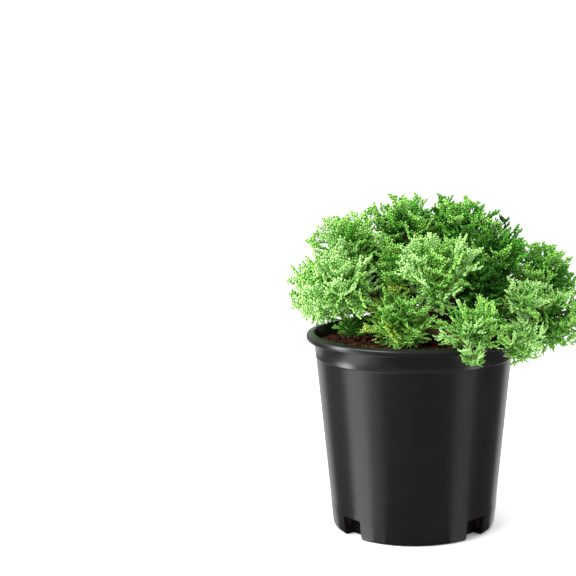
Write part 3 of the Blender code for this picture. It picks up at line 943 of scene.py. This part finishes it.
@dataclass(frozen=True)
class Shoot:
    """Finger of overlapping scale needles, one long and with a radius of 1 before it is placed."""

    stations: tuple[float, ...] = (0.0, 0.22, 0.5, 0.8)
    girths: tuple[float, ...] = (0.55, 1.0, 0.85, 0.8)
    sides: int = 3

    def corners(self) -> np.ndarray:
        """Corners as length along, and two coordinates across; the last is the tip."""
        rows = []
        for row, (along, girth) in enumerate(zip(self.stations, self.girths)):
            for side in range(self.sides):
                turn = 2 * math.pi * (side + 0.5 * (row % 2)) / self.sides
                rows.append((along, girth * math.cos(turn), girth * math.sin(turn)))
        return np.array([*rows, (1.0, 0.0, 0.0)])

    def triangles(self) -> np.ndarray:
        """Corner numbers of each face."""
        tris = [(2, 1, 0)]
        count, sides = len(self.stations), self.sides
        for row in range(count - 1):
            for side in range(sides):
                a, b = row * sides + side, row * sides + (side + 1) % sides
                tris += [(a, b, b + sides), (a, b + sides, a + sides)]
        last = (count - 1) * sides
        tris += [(last + side, last + (side + 1) % sides, count * sides) for side in range(sides)]
        return np.array(tris)


def shoots_mesh(
    bases: np.ndarray,
    ways: np.ndarray,
    lengths: np.ndarray,
    girths: np.ndarray,
    ages: np.ndarray,
    shoot: Shoot,
) -> tuple[np.ndarray, np.ndarray, np.ndarray]:
    """Many shoots in one go.

    Args:
        bases: where each starts.
        ways: unit direction of each.
        lengths: length of each.
        girths: radius of each.
        ages: growth and painted-shade value at each one's base.
        shoot: the shape.

    Returns:
        Corners, triangles and values for growth and painted shade.
    """
    help_axis = np.where(np.abs(ways[:, 2:3]) < 0.9, [[0.0, 0.0, 1.0]], [[1.0, 0.0, 0.0]])
    first = np.cross(ways, help_axis)
    first /= np.linalg.norm(first, axis=1, keepdims=True)
    second = np.cross(ways, first)
    shape = shoot.corners()
    along = bases[:, None] + ways[:, None] * (lengths[:, None] * shape[:, 0])[..., None]
    across = first[:, None] * shape[:, 1][None, :, None] + second[:, None] * shape[:, 2][None, :, None]
    verts = along + across * girths[:, None, None]
    tris = shoot.triangles()[None] + (np.arange(len(bases)) * len(shape))[:, None, None]
    # painted shade: the value, and so the colour, rises from each shoot's dark base to its pale tip
    growth_and_shade = ages[:, None] + 0.6 * shape[:, 0][None]
    return verts.reshape(-1, 3), tris.reshape(-1, 3), np.clip(growth_and_shade, 0, 1).ravel()


def sticks_mesh(
    starts: np.ndarray, ends: np.ndarray, thick: np.ndarray, thin: np.ndarray
) -> MeshArrays:
    """Many three-sided twigs in one go.

    Args:
        starts: where each starts.
        ends: where each ends.
        thick: radius of each at its start.
        thin: radius of each at its end.

    Returns:
        Corners and triangles.
    """
    ways = ends - starts
    ways = ways / np.linalg.norm(ways, axis=1, keepdims=True)
    help_axis = np.where(np.abs(ways[:, 2:3]) < 0.9, [[0.0, 0.0, 1.0]], [[1.0, 0.0, 0.0]])
    first = np.cross(ways, help_axis)
    first /= np.linalg.norm(first, axis=1, keepdims=True)
    second = np.cross(ways, first)
    rings = []
    for centre, radius in ((starts, thick), (ends, thin)):
        for side in range(3):
            turn = 2 * math.pi * side / 3
            rings.append(centre + (first * math.cos(turn) + second * math.sin(turn)) * radius[:, None])
    verts = np.stack(rings, axis=1)
    faces = [(2, 1, 0), (3, 4, 5)]
    for side in range(3):
        after = (side + 1) % 3
        faces += [(side, after, 3 + after), (side, 3 + after, 3 + side)]
    tris = np.array(faces)[None] + (np.arange(len(starts)) * 6)[:, None, None]
    return verts.reshape(-1, 3), tris.reshape(-1, 3)


class Plume:
    """Spray of the juniper: a bent axis of length 1 with branchlets that end in shoots."""

    def __init__(self, rng: random.Random, fine: bool) -> None:
        """Grows the spray.

        Args:
            rng: the source of its angles and lengths.
            fine: whether its shoots are slender and sparse.
        """
        self.rng = rng
        self.girth = 0.032 if fine else 0.044
        self.length = 0.225
        self.branchlets = 7
        self.bases, self.ways, self.lengths, self.girths, self.ages = [], [], [], [], []
        self.sticks = []
        bend = rng.uniform(0.04, 0.14)
        points = [Vector((s, 0.02 * math.sin(6 * s), bend * s * s)) for s in (0.0, 0.3, 0.58, 0.82)]
        for start, end, thick in zip(points, points[1:], (0.02, 0.016, 0.012)):
            self.sticks.append((start, end, thick, thick * 0.75))
        for index in range(self.branchlets):
            share = 0.14 + 0.66 * index / (self.branchlets - 1)
            spot = Vector((share, 0.02 * math.sin(6 * share), bend * share * share))
            self.add_branchlet(spot, share, 1 if index % 2 else -1)
        tip = points[-1]
        for swing in (-0.5, 0.0, 0.5):
            way = Vector((1.0, swing + rng.uniform(-0.1, 0.1), 2 * bend + rng.uniform(-0.2, 0.2)))
            self.add_shoot(tip, way, 0.95 if swing == 0 else 0.8, 0.5)

    def add_shoot(self, base: Vector, way: Vector, scale: float, age: float) -> None:
        """Adds one shoot.

        Args:
            base: where it starts.
            way: the way it points.
            scale: its size against the usual one.
            age: growth and painted-shade value at its base.
        """
        size = scale * self.rng.uniform(0.8, 1.15)
        self.bases.append(base)
        self.ways.append(way.normalized())
        self.lengths.append(self.length * size)
        self.girths.append(self.girth * self.rng.uniform(0.85, 1.1))
        self.ages.append(age)

    def add_branchlet(self, spot: Vector, share: float, hand: int) -> None:
        """Adds a side branchlet with its shoots.

        Args:
            spot: where it leaves the axis.
            share: how far along the axis that is.
            hand: the side that it leaves to.
        """
        rng = self.rng
        slant = rng.uniform(0.75, 1.1)
        lift = rng.uniform(-0.45, 0.75)
        way = Vector((1.0, hand * slant, lift)).normalized()
        length = 0.36 * (1.15 - 0.8 * share) * rng.uniform(0.8, 1.15)
        end = spot + way * length
        self.sticks.append((spot, end, 0.012, 0.008))
        side = way.cross(UP).normalized()
        for index, part in enumerate((0.3, 0.58, 0.84)):
            turn = side if index % 2 else -side
            lean = way + turn * rng.uniform(0.5, 0.85) + UP * rng.uniform(-0.15, 0.5) + ALONG * 0.3
            # painted shade: shoots nearer the spray's root start lower, so they are painted darker
            self.add_shoot(spot.lerp(end, part), lean, 0.85, 0.05 + 0.3 * share)
        self.add_shoot(end, way + UP * rng.uniform(-0.1, 0.3), 1.0, 0.15 + 0.35 * share)

    def arrays(self) -> tuple[list[np.ndarray], tuple[np.ndarray, ...]]:
        """Shoots and sticks as arrays of numbers."""
        shoots = [np.array([tuple(v) for v in self.bases]), np.array([tuple(v) for v in self.ways])]
        shoots += [np.array(values) for values in (self.lengths, self.girths, self.ages)]
        starts = np.array([tuple(s[0]) for s in self.sticks])
        ends = np.array([tuple(s[1]) for s in self.sticks])
        thick = np.array([s[2] for s in self.sticks])
        thin = np.array([s[3] for s in self.sticks])
        return shoots, (starts, ends, thick, thin)


@dataclass(frozen=True)
class Spray:
    """One spray of a mass: where it is rooted, its two axes, its length and its tint."""

    root: Vector
    along: Vector
    side: Vector
    length: float
    tint: Tint

    def axes(self) -> np.ndarray:
        """Turn that takes a pattern's three axes to the spray's."""
        return np.array([tuple(self.along), tuple(self.side), tuple(self.along.cross(self.side))])


@dataclass(frozen=True)
class Crown:
    """Foliage of every mass: stems, twigs and sprays, dealt out to pieces by tint."""

    limbs: Limbs
    plumes_per_area: float = 0.0215
    buried_share: float = 0.8
    buried_luck: float = 0.45
    plume_length: float = 39 * MM
    inner_share: float = 0.42
    rise: float = 0.45
    shade_luck: float = 0.35
    pattern_count: int = 6
    stem_radius: float = 1.7 * MM
    twig_radius: float = 0.9 * MM
    face_limit: int = 190000

    def clear_of_pot(self, point: Vector, room: float) -> bool:
        """Whether a point keeps some room to the pot and the mix."""
        pot, mix = self.limbs.pot, self.limbs.mix
        radius = math.hypot(point.x, point.y)
        if point.z > pot.height + room or radius > pot.lip_radius + room:
            return True
        return radius < pot.radius(point.z) - pot.wall - room and point.z > mix.top(radius) + room

    def fitted(self, root: Vector, along: Vector, side: Vector, length: float) -> float | None:
        """Length at which a spray clears the pot, or None.

        Args:
            root: where it starts.
            along: the way it points.
            side: its sideways axis.
            length: the length it would like.

        Returns:
            The length, or None where even a short one would touch.
        """
        for shrink in (1.0, 0.85, 0.7, 0.55):
            size = length * shrink
            outline = ((0.3, 0.0), (0.6, 0.28), (0.6, -0.28), (1.0, 0.0))
            spots = [root + along * size * a + side * size * s for a, s in outline]
            if all(self.clear_of_pot(spot, 2 * MM) for spot in spots):
                return size
        return None

    def grow(self, mass: Mass, seed: int) -> tuple[list[tuple], list[Spray]]:
        """Grows one mass.

        Args:
            mass: the mass.
            seed: the seed of its random draws.

        Returns:
            Its twigs and its sprays.
        """
        rng = random.Random(seed)
        space = Space(mass)
        foot, lead = self.limbs.mass_foot(mass, space)
        head = mass.centre + (lead + UP * 0.4).normalized() * mass.size * MM * 0.3
        twigs = [(foot, mass.centre, self.stem_radius, self.twig_radius * 1.2),
                 (mass.centre, head, self.twig_radius * 1.2, self.twig_radius * 0.8)]
        count = max(12, int(mass.size**2 * self.plumes_per_area))
        sprays = []
        for index in range(count):
            height = 1.0 - 2.0 * (index + 0.5) / count
            turn = GOLDEN_ANGLE * index + mass.size
            flat = math.sqrt(1.0 - height * height)
            out = Vector((flat * math.cos(turn), flat * math.sin(turn), height))
            buried = space.reach(out) < self.buried_share * space.open_reach(out)
            if buried and rng.random() > self.buried_luck:
                continue
            inner = rng.random() < self.inner_share
            shell = rng.uniform(0.62, 0.82) if inner else rng.uniform(0.9, 1.0)
            reach = space.reach(out) * shell
            length = self.plume_length * rng.uniform(0.82, 1.15) * min(1.0, 0.55 + mass.size / 110)
            length = min(length, 0.95 * reach + 6 * MM)
            jitter = Vector((rng.gauss(0, 0.18), rng.gauss(0, 0.18), rng.uniform(0.1, 0.6)))
            along = (out + jitter).normalized()
            root = mass.centre + out * reach - along * length
            across = along.cross(UP)
            across = across.normalized() if across.length > 0.1 else Vector((1.0, 0.0, 0.0))
            side = Matrix.Rotation(rng.uniform(-1.0, 1.0), 3, along) @ across
            size = self.fitted(root, along, side, length)
            if size is None:
                continue
            # painted shade: sprays deep inside the mass get a darker tint
            tint = self.tint_of(inner, rng.choice(mass.tints), rng.random())
            sprays.append(Spray(root, along, side, size, tint))
            share = 0.45 + 0.35 * out.dot(lead)
            start = foot.lerp(head, max(0.1, min(0.95, share)))
            middle = start.lerp(root, 0.5) + UP * rng.uniform(-2, 2) * MM
            if (root - start).length > 2 * MM and self.clear_of_pot(middle, MM):
                twigs.append((start, middle, self.twig_radius, self.twig_radius * 0.8))
                twigs.append((middle, root, self.twig_radius * 0.8, self.twig_radius * 0.6))
        return twigs, sprays

    def tint_of(self, inner: bool, tint: Tint, luck: float) -> Tint:
        """Tint of a spray, painted one or two steps darker deep inside a mass as shade.

        Args:
            inner: whether the spray stands deep inside.
            tint: the tint that it would have outside.
            luck: a draw from 0 to 1.

        Returns:
            The tint.
        """
        if not inner:
            return tint
        return tint.darker.darker if luck < self.shade_luck else tint.darker

    def build(self) -> None:
        """Grows and dresses all the foliage."""
        rng = random.Random(SEED)
        patterns = {
            fine: [Plume(rng, fine).arrays() for _ in range(self.pattern_count)] for fine in (False, True)
        }
        shoot = Shoot()
        twigs, needles, stalks = [], {tint: [] for tint in Tint}, {tint: [] for tint in Tint}
        mains = {}
        for index, mass in enumerate(MASSES):
            grown, sprays = self.grow(mass, SEED + index)
            twigs += grown
            mains[mass.name] = mass.tints[0]
            for number, spray in enumerate(sprays):
                turn, size, tint = spray.axes(), spray.length, spray.tint
                shoots, sticks = patterns[mass.fine][number % self.pattern_count]
                bases, ways, lengths, girths, ages = shoots
                ways = ways @ turn + [[0.0, 0.0, self.rise]]
                ways /= np.linalg.norm(ways, axis=1, keepdims=True)
                origin = np.array(tuple(spray.root))
                needles[tint].append((bases @ turn * size + origin, ways, lengths * size, girths * size, ages))
                starts, ends, thick, thin = sticks
                ends, starts = ends @ turn * size + origin, starts @ turn * size + origin
                stalks[tint].append((starts, ends, thick * size, thin * size))
        self.build_twigs(twigs)
        self.build_needles(needles, stalks, mains, shoot)

    def build_twigs(self, twigs: list[tuple]) -> None:
        """Joins the twigs into pieces.

        Args:
            twigs: start, end and two radii of each.
        """
        wood = JuniperBark("juniper_twig_bark", "#6E6232", "#4A2E18", flake=4 * MM).build()
        starts = np.array([tuple(t[0]) for t in twigs])
        ends = np.array([tuple(t[1]) for t in twigs])
        thick, thin = (np.array([t[i] for t in twigs]) for i in (2, 3))
        verts, tris = sticks_mesh(starts, ends, thick, thin)
        for number, first in enumerate(range(0, len(tris), self.face_limit - self.face_limit % 8)):
            part = tris[first : first + self.face_limit - self.face_limit % 8]
            low = part.min()
            mesh = mesh_from_arrays(f"twigs_{number}", verts[low : part.max() + 1], part - low)
            place(f"twigs_{number}", mesh, wood, "young_juniper_wood")

    def build_needles(
        self,
        needles: dict[Tint, list[tuple]],
        stalks: dict[Tint, list[tuple]],
        mains: dict[str, Tint],
        shoot: Shoot,
    ) -> None:
        """Joins the shoots and their green stalks into pieces by tint.

        Args:
            needles: the shoots of each tint, by spray.
            stalks: the stalks of each tint, by spray.
            mains: each mass's main tint.
            shoot: the shape of a shoot.
        """
        for tint, batches in needles.items():
            if not batches:
                continue
            material = JuniperNeedles(tint).build()
            nodes = [f"foliage_{name}" for name, main in mains.items() if main is tint]
            faces = len(batches[0][0]) * len(shoot.triangles()) + len(stalks[tint][0][0]) * 8
            step = self.face_limit // faces
            for number, first in enumerate(range(0, len(batches), step)):
                some, stems = batches[first : first + step], stalks[tint][first : first + step]
                columns = [np.concatenate([batch[i] for batch in some]) for i in range(5)]
                verts, tris, growth_and_shade = shoots_mesh(*columns, shoot)
                stem_columns = [np.concatenate([batch[i] for batch in stems]) for i in range(4)]
                stem_verts, stem_tris = sticks_mesh(*stem_columns)
                both = joined([(verts, tris), (stem_verts, stem_tris)])
                # painted shade: the green stalks take the dark colour of a shoot's base
                growth_and_shade = np.concatenate([growth_and_shade, np.full(len(stem_verts), 0.15)])
                name = f"needles_{tint.label}_{number}"
                mesh = mesh_from_arrays(name, *both, growth_and_shade)
                place(name, mesh, material, "juniper_needles", *(nodes if number == 0 else ()))


# Studio


@dataclass(frozen=True)
class Softbox:
    """Square or tall light with a soft edge, aimed at a point."""

    name: str
    at: tuple[float, float, float]
    size: tuple[float, float]
    power: float
    aim: tuple[float, float, float] = (0.0, 0.0, 0.22)

    def build(self) -> None:
        """Hangs the light."""
        light = bpy.data.lights.new(self.name, "AREA")
        light.shape = "RECTANGLE"
        light.size, light.size_y = self.size
        light.energy = self.power
        lamp = bpy.data.objects.new(self.name, light)
        bpy.context.scene.collection.objects.link(lamp)
        away = Vector(self.at) - Vector(self.aim)
        lamp.matrix_world = Matrix.Translation(self.at) @ away.to_track_quat("Z", "Y").to_matrix().to_4x4()


@dataclass(frozen=True)
class BounceCard:
    """Bright card that lies beside the pot: nothing but gloss sees it, as an upright band on the wall."""

    name: str
    edges: tuple[float, float]
    strength: float
    near: float = 101 * MM
    length: float = 1.6
    lift: float = 0.05 * MM

    def build(self) -> None:
        """Lays the card."""
        corners = []
        for azimuth in self.edges:
            angle = math.radians(azimuth)
            foot = Vector((math.sin(angle), -math.cos(angle), 0.0)) * self.near
            away = Vector((math.sin(2 * angle), -math.cos(2 * angle), 0.0)) * self.length
            corners += [foot, foot + away]
        mesh = bpy.data.meshes.new(self.name)
        mesh.from_pydata([tuple(corner) for corner in corners], [], [(0, 1, 3, 2)])
        material = bpy.data.materials.new(self.name)
        material.use_nodes = True
        tree = material.node_tree
        tree.nodes.clear()
        glow = add_node(tree, "ShaderNodeEmission", {"Color": linear("#FFFFFF"), "Strength": self.strength})
        add_node(tree, "ShaderNodeOutputMaterial", {}, {"Surface": glow.outputs[0]})
        mesh.materials.append(material)
        card = bpy.data.objects.new(self.name, mesh)
        bpy.context.scene.collection.objects.link(card)
        card.location.z = self.lift
        card.visible_camera = card.visible_diffuse = card.visible_shadow = False
        card.visible_transmission = card.visible_volume_scatter = False


@dataclass(frozen=True)
class Studio:
    """Pale floor, soft light and the camera."""

    camera_at: tuple[float, float, float] = (0.0, -1.52329, 0.51007)
    camera_tilt: float = 8.0967
    lens: float = 78.73
    sensor: float = 36.0
    shift: float = -0.2184
    floor_size: float = 12.0
    ambient: float = 1.1
    ambient_gloss: float = 0.6

    def build(self) -> None:
        """Sets up floor, lights, world and camera."""
        self.build_floor()
        Softbox("key", (-1.1, -1.0, 1.5), (1.1, 1.1), 34.0).build()
        Softbox("left_box", (-1.5, -0.25, 0.35), (0.45, 1.5), 34.0, (0.0, 0.0, 0.15)).build()
        Softbox("right_box", (1.5, -0.55, 0.35), (0.4, 1.3), 7.0, (0.0, 0.0, 0.15)).build()
        Softbox("back_box", (0.3, 1.6, 1.3), (2.2, 1.0), 26.0).build()
        BounceCard("card_left", (-44.0, -29.0), 3.4).build()
        BounceCard("card_left_fade", (-29.0, -20.0), 1.0).build()
        BounceCard("card_right", (26.0, 39.0), 1.0).build()
        BounceCard("card_rear_left", (-90.0, -67.0), 1.1).build()
        BounceCard("card_rear_right", (69.0, 90.0), 1.1).build()
        self.build_world()
        self.build_camera()

    def build_floor(self) -> None:
        """Lays the floor."""
        bm = bmesh.new()
        bmesh.ops.create_grid(bm, x_segments=1, y_segments=1, size=self.floor_size)
        mesh = bpy.data.meshes.new("floor")
        bm.to_mesh(mesh)
        bm.free()
        floor = bpy.data.objects.new("floor", mesh)
        bpy.context.scene.collection.objects.link(floor)
        floor.location.z = -0.2 * MM
        material, tree, shader = new_material("white_paper_painted_dim_in_gloss", 0.9, 1.45)
        shader.inputs["Specular IOR Level"].default_value = 0.0
        grain = speckle(tree, 5 * MM, 2.0, 0.2, 0.8)
        paper = blended(tree, grain, "#F8F8F7", "#FAFAF9")
        # painted shade in the reflections: the floor is painted dark grey for gloss rays only, so the pot
        # reflects a dim floor while the camera sees white paper
        gloss = add_node(tree, "ShaderNodeLightPath").outputs["Is Glossy Ray"]
        tree.links.new(blended(tree, gloss, paper, "#505050"), shader.inputs["Base Color"])
        mesh.materials.append(material)

    def build_world(self) -> None:
        """Makes the even light from all round."""
        world = bpy.data.worlds.new("studio")
        world.use_nodes = True
        tree = world.node_tree
        sky = tree.nodes["Background"]
        sky.inputs["Color"].default_value = (1.0, 1.0, 1.0, 1.0)
        gloss = add_node(tree, "ShaderNodeLightPath").outputs["Is Glossy Ray"]
        level = add_node(tree, "ShaderNodeMix", {2: self.ambient, 3: self.ambient_gloss}, {0: gloss})
        tree.links.new(level.outputs[0], sky.inputs["Strength"])
        bpy.context.scene.world = world

    def build_camera(self) -> None:
        """Sets the camera that the photo was matched with."""
        data = bpy.data.cameras.new("camera")
        data.lens = self.lens
        data.sensor_width = self.sensor
        data.shift_x = self.shift
        camera = bpy.data.objects.new("camera", data)
        bpy.context.scene.collection.objects.link(camera)
        tilt = Matrix.Rotation(math.radians(90 - self.camera_tilt), 4, "X")
        camera.matrix_world = Matrix.Translation(self.camera_at) @ tilt
        bpy.context.scene.camera = camera


def main() -> None:
    """Builds the looks in order."""
    logging.basicConfig(level=logging.INFO, format="%(message)s")
    pot, mix = NurseryPot(), PottingMix()
    pot.build()
    mix.build()
    foot = Vector((7 * MM, 2 * MM, 0.0))
    limbs = Limbs(pot, mix, foot, foot)
    limbs.build()
    Crown(limbs).build()
    Studio().build()
    view = bpy.context.scene.view_settings
    view.view_transform = "Standard"
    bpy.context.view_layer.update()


if __name__ == "__main__":
    main()
